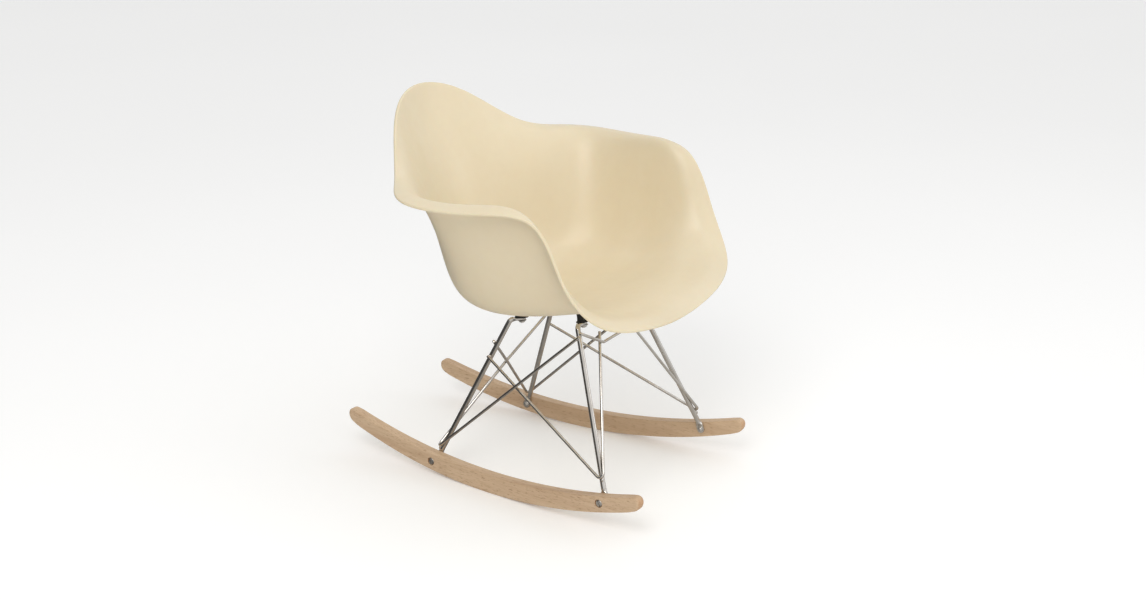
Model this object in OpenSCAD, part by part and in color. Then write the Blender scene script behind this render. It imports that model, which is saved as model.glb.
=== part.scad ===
// Rocking armchair: a moulded bucket shell on rubber mounts, a bent rod base and two wooden rockers.
// +Z is up, the sitter faces -Y, and the origin is on the floor under the middle of the rockers.

/* [Shell] */
// Thickness of the moulded seat shell
shell_t = 5.5; // [4:0.5:7]
// Facets around the shell
shell_spokes = 80; // [40:20:100]
// Facets from the middle of the seat to the rim
shell_rings = 18; // [12:2:24]
// Facets around the half-round edge of the rim
edge_steps = 4; // [2:2:6]

/* [Seat floor] */
// Half of the floor's width
floor_half_w = 208; // [195:220]
// Where the floor ends at the front
floor_front_y = -225; // [-235:-215]
// Where the floor ends at the rear
floor_rear_y = 128; // [115:135]
// Height of the middle of the seat above the ground
seat_z = 339; // [325:345]
// How far the middle of the seat lies behind the origin
seat_y = -35; // [-50:-20]
// Fall of the seat towards the back, as a slope
seat_fall = 0.14; // [0.08:0.01:0.18]

/* [Rockers] */
// Length of each rocker, measured level
rocker_l = 684; // [640:720]
// Thickness of the rocker board
rocker_t = 20; // [16:24]
// Height of the board over the middle of its curve
rocker_h = 36.5; // [34:0.5:44]
// Radius of the curve that rolls on the floor
roll_r = 1010; // [900:1100]
// Radius of the flatter curve along the top edge
crown_r = 1200; // [1150:1300]
// Distance from the middle of the chair to the outer face
rocker_x = 184.5; // [175:0.5:200]
// Angle by which the rockers spread apart towards the front
toe = 4; // [3:0.5:5]

/* [Rods and wires] */
// Diameter of the legs
rod_d = 9.5; // [8:0.5:10]
// Diameter of the brace wires
wire_d = 5.5; // [4:0.5:6]
// Radius of the bends in the legs, along the middle of the rod
rod_bend = 10; // [8:12]
// Radius of the bends in the wires, along the middle of the wire
wire_bend = 7; // [6:8]

/* [Fixings] */
// Height of the rubber shock mounts
mount_h = 21; // [18:24]
// Diameter of the rubber shock mounts
mount_d = 26; // [24:28]
// Thread diameter of the seat screws
seat_screw_d = 6; // [5:6]
// Thread diameter of the rocker bolts
rocker_bolt_d = 5; // [4:5]

/* [Hidden] */
$fn = 48;

// The shell hangs on closed lines around the seat. Each line is given for the sitter's left half,
// from the middle of the front edge round to the middle of the back, and is mirrored.
// The lines steer a smooth surface, which passes a little inside them.
rim_line = [
  [0, -308, 350], [115, -320, 370], [238, -285, 385], [270, -222, 460],
  [264, -185, 595], [313, -62, 579], [328, 75, 582], [268, 122, 592],
  [195, 170, 597], [108, 242, 685], [0, 275, 713]
];
wall_line = [
  [0, -258, 372], [105, -256, 374], [195, -225, 394], [232, -180, 449],
  [240, -115, 483], [243, -25, 484], [228, 45, 480], [180, 85, 482],
  [124, 136, 490], [66, 181, 502], [0, 196, 505]
];
// How far the crest of the flare lies inside the rim, and how far above it
crest_in = [25, 27, 32, 38, 48, 50, 50, 42, 28, 17, 11];
crest_up = [12, 12, 14, 20, 24, 18, 15, 8, -16, -44, -62];

// The floor line is a rounded oblong that rises a little towards its sides and its front.
floor_mid_y = -68;
floor_roundness = 2.7;
floor_front_rise = 0.2;
floor_rear_rise = 0.03;
floor_side_rise = 20;
last_spoke = len(rim_line) - 1;

// Clearance between pieces that touch
gap = 0.1;

function unit(v) = v / norm(v);
function flat(v) = [v.x, v.y, 0];
function mirrored(p) = [-p.x, p.y, p.z];

// ---- Shell surface ----

function floor_point(i) =
  let (a = 180 * i / last_spoke,
       k = pow(pow(abs(cos(a)), floor_roundness) + pow(sin(a), floor_roundness), -1 / floor_roundness),
       reach = cos(a) > 0 ? floor_mid_y - floor_front_y : floor_rear_y - floor_mid_y,
       x = floor_half_w * sin(a) * k,
       y = floor_mid_y - reach * cos(a) * k,
       rise = y < seat_y ? floor_front_rise * (seat_y - y) : floor_rear_rise * (y - seat_y))
  [x, y, seat_z + rise + floor_side_rise * pow(x / floor_half_w, 2)];

function inner_point(i) =
  let (p = floor_point(i), y = (seat_y + p.y) / 2)
  [p.x / 2, y, seat_z + seat_fall * (seat_y - y)];

function crest_point(i) =
  let (in = unit(flat(wall_line[i] - rim_line[i])))
  rim_line[i] + crest_in[i] * in + [0, 0, crest_up[i]];

// The half line from front to back becomes a closed line round both halves.
function closed(half) = concat(half, [for (i = [last_spoke - 1 : -1 : 1]) mirrored(half[i])]);

SHELL_LINES = [
  closed([for (i = [0 : last_spoke]) [0, seat_y, seat_z]]),
  closed([for (i = [0 : last_spoke]) inner_point(i)]),
  closed([for (i = [0 : last_spoke]) floor_point(i)]),
  closed(wall_line),
  closed([for (i = [0 : last_spoke]) crest_point(i)]),
  closed(rim_line)
];
turn = 2 * last_spoke;

// Weights of the four steering points of a uniform cubic B-spline
function weights(t) = [
  pow(1 - t, 3) / 6,
  (3 * pow(t, 3) - 6 * pow(t, 2) + 4) / 6,
  (-3 * pow(t, 3) + 3 * pow(t, 2) + 3 * t + 1) / 6,
  pow(t, 3) / 6
];

// A point on a closed line, where u counts its steering points
function around(line, u) =
  let (k = floor(u), w = weights(u - k))
  w[0] * line[(k - 1 + turn) % turn] + w[1] * line[k % turn]
  + w[2] * line[(k + 1) % turn] + w[3] * line[(k + 2) % turn];

// One spoke of the shell: steering points from the middle of the seat to the rim,
// with one more at each end so that the surface starts and stops on them
function spoke(u) =
  let (v = (u + turn) % turn,
       p = [for (line = SHELL_LINES) around(line, v)],
       n = len(p) - 1)
  concat([2 * p[0] - p[1]], p, [2 * p[n] - p[n - 1]]);

function along(s, r) =
  let (f = r * (len(s) - 3), k = min(floor(f), len(s) - 4), w = weights(f - k))
  w[0] * s[k] + w[1] * s[k + 1] + w[2] * s[k + 2] + w[3] * s[k + 3];

// The sitting face at spoke position u and share r of the way out to the rim
function face(u, r) = along(spoke(u), r);

// Direction out of the sitting face
function face_normal(u, r) =
  let (du = 0.02, dr = 0.002,
       s = spoke(u),
       out = along(s, min(1, r + dr)) - along(s, max(0, r - dr)),
       side = face(u + du, r) - face(u - du, r))
  unit(cross(out, side));

// A point on the underside
function under(u, r) = face(u, r) - shell_t * face_normal(u, r);

module seat_shell() {
  shares = [for (i = [1 : shell_rings]) i / shell_rings];
  angles = [for (i = [1 : edge_steps - 1]) 180 * i / edge_steps];
  spokes = [for (j = [0 : shell_spokes - 1])
    let (u = turn * j / shell_spokes,
         s = spoke(u),
         top = [for (r = shares) along(s, r)],
         normals = [for (r = shares) face_normal(u, r)],
         last = shell_rings - 1,
         out = unit(top[last] - along(s, 0.99)),
         edge_mid = top[last] - shell_t / 2 * normals[last])
    concat(
      top,
      [for (a = angles) edge_mid + shell_t / 2 * (cos(a) * normals[last] + sin(a) * out)],
      [for (i = [last : -1 : 0]) top[i] - shell_t * normals[i]])];
  rings = 2 * shell_rings + edge_steps - 1;
  up = unit([0, seat_fall, 1]);
  middle = [0, seat_y, seat_z];
  points = concat([middle, middle - shell_t * up],
    [for (i = [0 : rings - 1], j = [0 : shell_spokes - 1]) spokes[j][i]]);
  at = function(i, j) 2 + i * shell_spokes + (j % shell_spokes);
  caps = [for (j = [0 : shell_spokes - 1], top = [true, false])
    top ? [0, at(0, j + 1), at(0, j)] : [1, at(rings - 1, j), at(rings - 1, j + 1)]];
  strips = [for (i = [0 : rings - 2], j = [0 : shell_spokes - 1], first = [true, false])
    first ? [at(i, j), at(i, j + 1), at(i + 1, j)] : [at(i, j + 1), at(i + 1, j + 1), at(i + 1, j)]];
  color("wheat") polyhedron(points, concat(caps, strips), convexity = 8);
}

// ---- Shock mounts ----

// Where each mount sits under the seat: spoke position and share of the way to the rim
front_mount_uv = [1.869, 0.251];
rear_mount_uv = [7.143, 0.139];

// Middle of a mount's upper face, and the direction from there up into the shell
function mount_uv(front) = front ? front_mount_uv : rear_mount_uv;
function mount_up(front) = let (m = mount_uv(front)) face_normal(m[0], m[1]);
function mount_top(front) =
  let (m = mount_uv(front)) under(m[0], m[1]) - 3 * gap * mount_up(front);
function mount_base(front) = mount_top(front) - mount_h * mount_up(front);

insert_d = 10;
insert_flange_d = 17;
insert_flange_t = 2;
insert_l = 13;
seat_washer_d = 17;
seat_washer_t = 1.5;
foot_t = 5;
foot_w = 14;

// Lays Z along the given direction at a point
module aimed(at, dir) {
  d = unit(dir);
  translate(at) rotate([0, acos(d.z), atan2(d.y, d.x)]) children();
}

// Places a piece that is drawn for the sitter's left side on either side
module on_side(left) {
  if (left) children();
  else mirror([1, 0, 0]) children();
}

module at_mount(front, left) {
  on_side(left) aimed(mount_base(front), mount_up(front)) children();
}

module insert_shape(grow) {
  cylinder(d = insert_d + 2 * grow, h = insert_l + grow);
  translate([0, 0, insert_l - insert_flange_t - grow])
    cylinder(d = insert_flange_d + 2 * grow, h = insert_flange_t + 2 * grow);
}

module shock_mount(front, left) {
  flange_t = 1.5;
  waist = mount_d / 2 - 2.5;
  color([0.07, 0.07, 0.07]) at_mount(front, left) difference() {
    rotate_extrude() polygon([
      [0, 0], [mount_d / 2, 0], [mount_d / 2, flange_t], [waist, flange_t + 1],
      [waist, mount_h - flange_t - 1], [mount_d / 2, mount_h - flange_t], [mount_d / 2, mount_h], [0, mount_h]
    ]);
    translate([0, 0, -gap]) insert_shape(gap);
  }
}

module mount_insert(front, left) {
  color("silver") at_mount(front, left) difference() {
    insert_shape(0);
    translate([0, 0, -1]) cylinder(d = seat_screw_d + 2 * gap, h = insert_l);
  }
}

module seat_washer(front, left) {
  color("silver") at_mount(front, left)
    translate([0, 0, -foot_t - seat_washer_t - 2 * gap]) difference() {
      cylinder(d = seat_washer_d, h = seat_washer_t);
      translate([0, 0, -1]) cylinder(d = seat_screw_d + 0.4, h = seat_washer_t + 2);
    }
}

module seat_screw(front, left) {
  head_d = 2 * seat_screw_d;
  head_h = 0.65 * seat_screw_d;
  slot_w = 1.4;
  color("silver") at_mount(front, left)
    translate([0, 0, -foot_t - seat_washer_t - 3 * gap]) difference() {
      union() {
        cylinder(d = seat_screw_d, h = foot_t + seat_washer_t + insert_l - 4);
        translate([0, 0, -head_h]) cylinder(d = head_d, h = head_h);
      }
      for (a = [0, 90]) rotate(a) translate([-head_d / 4, -slot_w / 2, -head_h - 1])
        cube([head_d / 2, slot_w, head_h / 2 + 1]);
    }
}

// ---- Rockers ----

half_l = rocker_l / 2;
// Bolts through the rockers: how far behind the origin, and how far above the rolling curve
front_bolt_y = -257;
rear_bolt_y = 132;
bolt_up = 17;
sleeve_d = 8;
sleeve_head_d = 13;
sleeve_head_t = 2.2;
tip_low_round = 17;
tip_high_round = 10;

function bolt_y(front) = front ? front_bolt_y : rear_bolt_y;
function bolt_z(front) = roll_r - sqrt(pow(roll_r - bolt_up, 2) - pow(bolt_y(front), 2));

// Rocker space: X is through the board with 0 at its outer face, Y along it, Z up
module in_rocker(left) {
  on_side(left) translate([rocker_x, 0, 0]) rotate(toe) children();
}
// The same change of place for a point, on the sitter's left side
function from_rocker(p) = [
  rocker_x + p.x * cos(toe) - p.y * sin(toe), p.x * sin(toe) + p.y * cos(toe), p.z
];

// Takes off the corner between the line x = 0 and the edge that a circle of radius r touches.
// The circle's middle is at m, and it touches the edge at point p.
module corner_cut(m, p, r) {
  below = p.y < m.y;
  difference() {
    translate([p.x, below ? p.y - r : m.y]) square([r - p.x, below ? m.y - p.y + r : p.y - m.y + r]);
    translate(m) circle(r);
  }
}

// Side view of the board: X is the rocker's length and Y is up.
// Both ends are cut square to the rolling curve, and their corners are rounded.
module rocker_profile() {
  low_turn = asin(tip_low_round / (roll_r - tip_low_round));
  tip = low_turn + asin((half_l - tip_low_round) / (roll_r - tip_low_round));
  crown_mid = (rocker_h + crown_r - roll_r) * [sin(tip), cos(tip)];
  low = (roll_r - tip_low_round) * [-sin(low_turn), -cos(low_turn)];
  high = [-tip_high_round,
    crown_mid.y - sqrt(pow(crown_r + tip_high_round, 2) - pow(crown_mid.x + tip_high_round, 2))];
  difference() {
    translate([0, roll_r]) circle(roll_r, $fn = 360);
    translate([0, rocker_h + crown_r]) circle(crown_r, $fn = 360);
    for (s = [0, 1]) mirror([s, 0]) translate([0, roll_r]) rotate(tip) {
      translate([0, -2 * roll_r]) square([roll_r, 3 * roll_r]);
      corner_cut(low, low + tip_low_round * unit(low), tip_low_round);
      corner_cut(high, high + tip_high_round * unit(crown_mid - high), tip_high_round);
    }
  }
}

module at_bolt(front, left) {
  in_rocker(left) translate([0, bolt_y(front), bolt_z(front)]) rotate([0, -90, 0]) children();
}

module rocker(left) {
  color("burlywood") difference() {
    in_rocker(left) rotate([90, 0, 90]) translate([0, 0, -rocker_t]) linear_extrude(rocker_t)
      rocker_profile();
    for (front = [true, false]) at_bolt(front, left) {
      translate([0, 0, -1]) cylinder(d = sleeve_d + 2 * gap, h = rocker_t + 2);
      translate([0, 0, -1]) cylinder(d = sleeve_head_d + 4 * gap, h = sleeve_head_t + 1 + gap);
    }
  }
}

// At a bolt, Z runs from the rocker's outer face inwards.
module sleeve_nut(front, left) {
  slot_w = 1.6;
  color("silver") at_bolt(front, left) difference() {
    union() {
      cylinder(d = sleeve_head_d, h = sleeve_head_t);
      cylinder(d = sleeve_d, h = rocker_t - 1);
    }
    translate([0, 0, sleeve_head_t + 2]) cylinder(d = rocker_bolt_d + 2 * gap, h = rocker_t);
    translate([-sleeve_head_d, -slot_w / 2, -1]) cube([2 * sleeve_head_d, slot_w, 2.2]);
  }
}

eye_t = 5;
eye_w = 15;
rocker_washer_t = 1.2;

module rocker_washer(front, left) {
  color("silver") at_bolt(front, left) translate([0, 0, rocker_t + eye_t + 2 * gap]) difference() {
    cylinder(d = 13, h = rocker_washer_t);
    translate([0, 0, -1]) cylinder(d = rocker_bolt_d + 0.4, h = rocker_washer_t + 2);
  }
}

module rocker_bolt(front, left) {
  head_h = 3.2;
  seat = rocker_t + eye_t + rocker_washer_t + 3 * gap;
  color("silver") at_bolt(front, left) {
    translate([0, 0, seat]) cylinder(d = 2 * rocker_bolt_d, h = head_h);
    translate([0, 0, sleeve_head_t + 4]) cylinder(d = rocker_bolt_d, h = seat - sleeve_head_t - 4);
  }
}

// ---- Rods and wires ----

// The bends of a bar are a hair fatter than the straights, which run a little way into them.
bend_swell = 0.1;
bend_lap = 0.6;

// A round bar of radius r along a path. Each corner is bent to its own radius from the list.
module bar(path, r, bends) {
  n = len(path) - 1;
  turns = [for (i = [1 : n - 1])
    let (a = unit(path[i] - path[i - 1]), b = unit(path[i + 1] - path[i])) acos(a * b)];
  trims = concat([0], [for (i = [0 : n - 2]) bends[i] * tan(turns[i] / 2) - bend_lap], [0]);
  for (i = [0 : n - 1]) {
    d = unit(path[i + 1] - path[i]);
    aimed(path[i] + trims[i] * d, d)
      cylinder(r = r, h = norm(path[i + 1] - path[i]) - trims[i] - trims[i + 1]);
  }
  for (i = [1 : n - 1]) {
    bend = bends[i - 1];
    a = unit(path[i] - path[i - 1]);
    b = unit(path[i + 1] - path[i]);
    side = unit(b - (a * b) * a);
    axis = cross(a, side);
    middle = path[i] - bend * tan(turns[i - 1] / 2) * a + bend * side;
    multmatrix([
      [-side.x, a.x, axis.x, middle.x],
      [-side.y, a.y, axis.y, middle.y],
      [-side.z, a.z, axis.z, middle.z],
      [0, 0, 0, 1]
    ]) rotate_extrude(angle = turns[i - 1]) translate([bend, 0]) circle(r + bend_swell);
  }
}

// Leg: a flattened foot under the mount, a bend, the long straight, a bend and a flattened eye
foot_reach = 21.5;
eye_reach = 20;
// How far the rod beside an eye stands clear of the rocker
rod_stand = 0.5;
// Lean of the eyes from upright, towards the rear of the chair
front_eye_lean = 19;
rear_eye_lean = -23;
// Directions in which the feet leave their mounts, before they are laid flat against the mounts
front_foot_dir = [1, -0.05, 0];
rear_foot_dir = [0.7, 0.71, 0];

function foot_mid(front) = mount_base(front) - (foot_t / 2 + gap) * mount_up(front);
function foot_dir(front) =
  let (n = mount_up(front), d = front ? front_foot_dir : rear_foot_dir)
  unit(d - (d * n) * n);
function leg_top(front) = foot_mid(front) + foot_reach * foot_dir(front);
// The eye lies flat on the rocker's inner face, and the rod beside it stands off by its own radius.
function eye_mid(front) =
  from_rocker([-rocker_t - eye_t / 2 - gap, bolt_y(front), bolt_z(front)]);
function eye_lean(front) = front ? front_eye_lean : rear_eye_lean;
function above_eye(front, reach) =
  from_rocker([
    -rocker_t - rod_d / 2 - rod_stand,
    bolt_y(front) + reach * sin(eye_lean(front)),
    bolt_z(front) + reach * cos(eye_lean(front))
  ]);
function leg_foot(front) = above_eye(front, eye_reach);
function on_leg(front, z) =
  let (a = leg_foot(front), b = leg_top(front)) a + (z - a.z) / (b.z - a.z) * (b - a);

// A flat strip with one round end and a hole at its origin, reaching along +X
module strip(w, t, reach, hole) {
  translate([0, 0, -t / 2]) linear_extrude(t) difference() {
    union() {
      circle(d = w);
      translate([0, -w / 2]) square([reach, w]);
    }
    circle(d = hole);
  }
}

module leg(front, left) {
  top = leg_top(front);
  foot = leg_foot(front);
  up = mount_up(front);
  lead = foot_dir(front);
  cross_dir = cross(up, lead);
  mid = foot_mid(front);
  eye_end = above_eye(front, 9);
  color("gainsboro") on_side(left) {
    bar([mid + (mount_d / 2 + 0.5) * lead, top, foot, eye_end], rod_d / 2, [rod_bend, rod_bend]);
    multmatrix([
      [lead.x, cross_dir.x, up.x, mid.x],
      [lead.y, cross_dir.y, up.y, mid.y],
      [lead.z, cross_dir.z, up.z, mid.z],
      [0, 0, 0, 1]
    ]) strip(foot_w, foot_t, mount_d / 2 + 4, seat_screw_d + 0.5);
    translate(eye_mid(front)) rotate(toe) rotate([-eye_lean(front), 0, 0]) rotate([0, -90, 0])
      strip(eye_w, eye_t, 14, rocker_bolt_d + 0.5);
  }
}

// Distances between middle lines where a wire is welded to a leg or to another wire
on_rod = (rod_d + wire_d) / 2 + 2 * gap;
on_wire = wire_d + 2 * gap;
// The bend at a brace's vertex cuts the corner, so the corner stands off the leg by this much more.
vertex_slack = 1.8;
// Heights above the ground at which the wires meet the legs
front_vertex_z = 77;
rear_vertex_z = 41;
long_brace_top_z = 312;
spreader_top_z = 318;
cross_weld_z = 257;
rear_weld_z = 232;
// How far a wire's end stands past its weld
cross_tail = 5;
short_tail = 2;
long_brace_tail = 5;
spreader_tail = 20;
// Radius of the slight bend where one cross wire passes the other
crossing_bend = 150;
// Corner of the wire between the front legs, on the sitter's left side
spreader_corner = [53.5, -176, 292];
// Distance from that corner to the front brace's weld
corner_to_weld = 4;

// A wire's end point, past the point at which it is welded
function past(from, weld, extra) = weld + extra * unit(weld - from);
// Sideways direction in which a wire along w passes a leg along l, on the side that faces out
function beside(l, w, out) = let (n = unit(cross(l, w))) n * out > 0 ? n : -n;
// A point at distance d from the planes that cross the origin at right angles to m and n,
// and square to direction l
function between(l, m, n, d) = d * (cross(n, l) + cross(l, m)) / (m * cross(n, l));
function leg_dir(front) = unit(leg_top(front) - leg_foot(front));

outward = [1, 0, 0];
forward = [0, -1, 0];

// A rear brace runs from its vertex, behind a rear leg, outside the front leg on its own side,
// and across behind the other rear leg. The two cross wires bend a little where they touch.
module brace_rear(left) {
  near = on_leg(false, rear_vertex_z);
  top = on_leg(true, long_brace_top_z);
  far = mirrored(on_leg(false, cross_weld_z));
  far_dir = mirrored(leg_dir(false));
  vertex = near + between(leg_dir(false), beside(leg_dir(false), top - near, outward),
    beside(leg_dir(false), far - near, -forward), on_rod + vertex_slack);
  long_weld = top + on_rod * beside(leg_dir(true), top - vertex, outward);
  cross_weld = far + on_rod * beside(far_dir, far - vertex, -forward);
  cross_dir = cross_weld - vertex;
  across = vertex + vertex.x / (vertex.x - cross_weld.x) * cross_dir;
  over = (left ? 1 : -1) * (wire_d / 2 + 2 * gap) * beside(cross_dir, outward, forward);
  color("gainsboro") on_side(left) bar([
    past(vertex, long_weld, long_brace_tail), vertex, across + over,
    past(across + over, cross_weld, cross_tail)
  ], wire_d / 2, [wire_bend, crossing_bend]);
}

// A front brace runs from its vertex, before a front leg, outside the rear leg on its own side,
// and up behind the corner of the spreader.
module brace_front(left) {
  near = on_leg(true, front_vertex_z);
  far = on_leg(false, rear_weld_z);
  spreader_dir = unit(on_leg(true, spreader_top_z) - spreader_corner);
  crossing = spreader_corner + corner_to_weld * spreader_dir;
  corner = crossing + on_wire * beside(spreader_dir, crossing - near, -forward);
  vertex = near + between(leg_dir(true), beside(leg_dir(true), far - near, outward),
    beside(leg_dir(true), corner - near, forward), on_rod + vertex_slack);
  weld = far + on_rod * beside(leg_dir(false), far - vertex, outward);
  color("gainsboro") on_side(left)
    bar([past(vertex, weld, short_tail), vertex, past(vertex, corner, spreader_tail)],
      wire_d / 2, [wire_bend]);
}

module front_spreader() {
  top = on_leg(true, spreader_top_z);
  end = top + on_rod * beside(leg_dir(true), spreader_corner - top, forward);
  tip = past(spreader_corner, end, 4);
  color("gainsboro")
    bar([mirrored(tip), mirrored(spreader_corner), spreader_corner, tip],
      wire_d / 2, [wire_bend, wire_bend]);
}

seat_shell();
shock_mount(true, true);  // shock_mount_front_left
shock_mount(true, false);  // shock_mount_front_right
shock_mount(false, true);  // shock_mount_rear_left
shock_mount(false, false);  // shock_mount_rear_right
mount_insert(true, true);  // mount_insert_front_left
mount_insert(true, false);  // mount_insert_front_right
mount_insert(false, true);  // mount_insert_rear_left
mount_insert(false, false);  // mount_insert_rear_right
seat_washer(true, true);  // seat_washer_front_left
seat_washer(true, false);  // seat_washer_front_right
seat_washer(false, true);  // seat_washer_rear_left
seat_washer(false, false);  // seat_washer_rear_right
seat_screw(true, true);  // seat_screw_front_left
seat_screw(true, false);  // seat_screw_front_right
seat_screw(false, true);  // seat_screw_rear_left
seat_screw(false, false);  // seat_screw_rear_right
leg(true, true);  // leg_front_left
leg(true, false);  // leg_front_right
leg(false, true);  // leg_rear_left
leg(false, false);  // leg_rear_right
brace_front(true);  // brace_front_left
brace_front(false);  // brace_front_right
brace_rear(true);  // brace_rear_left
brace_rear(false);  // brace_rear_right
front_spreader();
rocker(true);  // rocker_left
rocker(false);  // rocker_right
sleeve_nut(true, true);  // sleeve_nut_front_left
sleeve_nut(true, false);  // sleeve_nut_front_right
sleeve_nut(false, true);  // sleeve_nut_rear_left
sleeve_nut(false, false);  // sleeve_nut_rear_right
rocker_washer(true, true);  // rocker_washer_front_left
rocker_washer(true, false);  // rocker_washer_front_right
rocker_washer(false, true);  // rocker_washer_rear_left
rocker_washer(false, false);  // rocker_washer_rear_right
rocker_bolt(true, true);  // rocker_bolt_front_left
rocker_bolt(true, false);  // rocker_bolt_front_right
rocker_bolt(false, true);  // rocker_bolt_rear_left
rocker_bolt(false, false);  // rocker_bolt_rear_right
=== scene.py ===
import math

import bmesh
import bpy
import numpy as np
from mathutils import Matrix, Vector


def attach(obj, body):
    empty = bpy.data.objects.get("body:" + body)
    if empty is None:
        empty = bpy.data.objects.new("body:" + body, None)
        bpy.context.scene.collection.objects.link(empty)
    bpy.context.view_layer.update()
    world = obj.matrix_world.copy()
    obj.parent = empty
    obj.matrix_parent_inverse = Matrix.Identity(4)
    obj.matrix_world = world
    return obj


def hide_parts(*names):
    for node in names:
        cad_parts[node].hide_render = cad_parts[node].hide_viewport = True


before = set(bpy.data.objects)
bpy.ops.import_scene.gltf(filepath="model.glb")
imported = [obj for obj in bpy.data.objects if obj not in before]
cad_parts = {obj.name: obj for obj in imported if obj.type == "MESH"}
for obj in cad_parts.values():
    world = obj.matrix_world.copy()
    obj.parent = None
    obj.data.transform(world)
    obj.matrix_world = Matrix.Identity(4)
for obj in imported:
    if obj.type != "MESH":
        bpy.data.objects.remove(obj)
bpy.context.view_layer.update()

# Rocking armchair. The lengths in the geometry functions are in millimetres, in the CAD's frame:
# +Z up, the sitter faces -Y, and the origin is on the floor under the middle of the rockers.
MM = 0.001
SCENE = bpy.context.scene
RNG_SEED = 7


# ---- Camera ----

PHOTO_W = 1146.0
FOCAL_PX = 1694.1
SENSOR_W = 36.0


def make_camera():
    """The photograph's viewpoint, solved from the rockers, the bolts, the legs and the rim."""
    azimuth, elevation = math.radians(-58.0), math.radians(19.7)
    forward = Vector((-math.sin(azimuth) * math.cos(elevation),
                      math.cos(azimuth) * math.cos(elevation), -math.sin(elevation)))
    right = Vector((math.cos(azimuth), math.sin(azimuth), 0.0))
    up = right.cross(forward)
    data = bpy.data.cameras.new("camera")
    data.sensor_width = SENSOR_W
    data.lens = SENSOR_W * FOCAL_PX / PHOTO_W
    data.clip_end = 50.0
    camera = bpy.data.objects.new("camera", data)
    SCENE.collection.objects.link(camera)
    camera.matrix_world = Matrix((right, up, -forward)).transposed().to_4x4()
    camera.location = Vector((-2512.0, -1646.8, 1398.3)) * MM
    SCENE.camera = camera


make_camera()


# ---- Small vector helpers ----

def unit(v):
    v = np.asarray(v, float)
    return v / np.linalg.norm(v)


def units(rows):
    """Every row at length 1."""
    return rows / np.linalg.norm(rows, axis=1, keepdims=True)


def mirrored(p):
    """The same point or direction on the chair's other side."""
    return np.asarray(p, float) * [-1, 1, 1]


# ---- Materials ----

class Nodes:
    """Builds one node material around a Principled BSDF."""

    def __init__(self, name):
        self.material = bpy.data.materials.new(name)
        self.material.use_nodes = True
        self.tree = self.material.node_tree
        self.shader = self.tree.nodes["Principled BSDF"]
        self.coords = self.tree.nodes.new("ShaderNodeTexCoord").outputs["Object"]

    def link(self, output, socket):
        self.tree.links.new(output, socket)

    def set(self, **values):
        for key, value in values.items():
            self.shader.inputs[key.replace("_", " ")].default_value = value

    def mapped(self, scale=(1, 1, 1), rotation=(0, 0, 0), location=(0, 0, 0)):
        node = self.tree.nodes.new("ShaderNodeMapping")
        node.inputs["Scale"].default_value = scale
        node.inputs["Rotation"].default_value = rotation
        node.inputs["Location"].default_value = location
        self.link(self.coords, node.inputs["Vector"])
        return node.outputs["Vector"]

    def noise(self, vector, scale, detail=3.0, roughness=0.5, distortion=0.0):
        node = self.tree.nodes.new("ShaderNodeTexNoise")
        node.inputs["Scale"].default_value = scale
        node.inputs["Detail"].default_value = detail
        node.inputs["Roughness"].default_value = roughness
        node.inputs["Distortion"].default_value = distortion
        self.link(vector, node.inputs["Vector"])
        return node.outputs["Fac"]

    def ramp(self, factor, stops):
        node = self.tree.nodes.new("ShaderNodeValToRGB")
        elements = node.color_ramp.elements
        while len(elements) < len(stops):
            elements.new(0.5)
        for element, (place, color) in zip(elements, stops):
            element.position = place
            element.color = (*color, 1.0)
        self.link(factor, node.inputs["Fac"])
        return node.outputs["Color"]

    def span(self, factor, low, high, from_low=0.0, from_high=1.0):
        """Maps the factor's range from_low to from_high onto low to high."""
        node = self.tree.nodes.new("ShaderNodeMapRange")
        node.inputs["From Min"].default_value = from_low
        node.inputs["From Max"].default_value = from_high
        node.inputs["To Min"].default_value = low
        node.inputs["To Max"].default_value = high
        self.link(factor, node.inputs["Value"])
        return node.outputs["Result"]

    def math(self, operation, a, b=None):
        node = self.tree.nodes.new("ShaderNodeMath")
        node.operation = operation
        for socket, value in zip(node.inputs, (a, b)):
            if value is None:
                continue
            if isinstance(value, (int, float)):
                socket.default_value = value
            else:
                self.link(value, socket)
        return node.outputs["Value"]

    def mix(self, factor, under, over_color):
        """Lays a plain colour over another by the factor."""
        node = self.tree.nodes.new("ShaderNodeMix")
        node.data_type = "RGBA"
        factor_socket, color_a, color_b = (node.inputs[i] for i in (0, 6, 7))
        self.link(factor, factor_socket)
        self.link(under, color_a)
        if isinstance(over_color, tuple):
            color_b.default_value = (*over_color, 1.0)
        else:
            self.link(over_color, color_b)
        return node.outputs[2]

    def bump(self, height, distance, strength, after=None):
        node = self.tree.nodes.new("ShaderNodeBump")
        node.inputs["Distance"].default_value = distance
        node.inputs["Strength"].default_value = strength
        self.link(height, node.inputs["Height"])
        if after is not None:
            self.link(after, node.inputs["Normal"])
        return node.outputs["Normal"]


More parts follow.
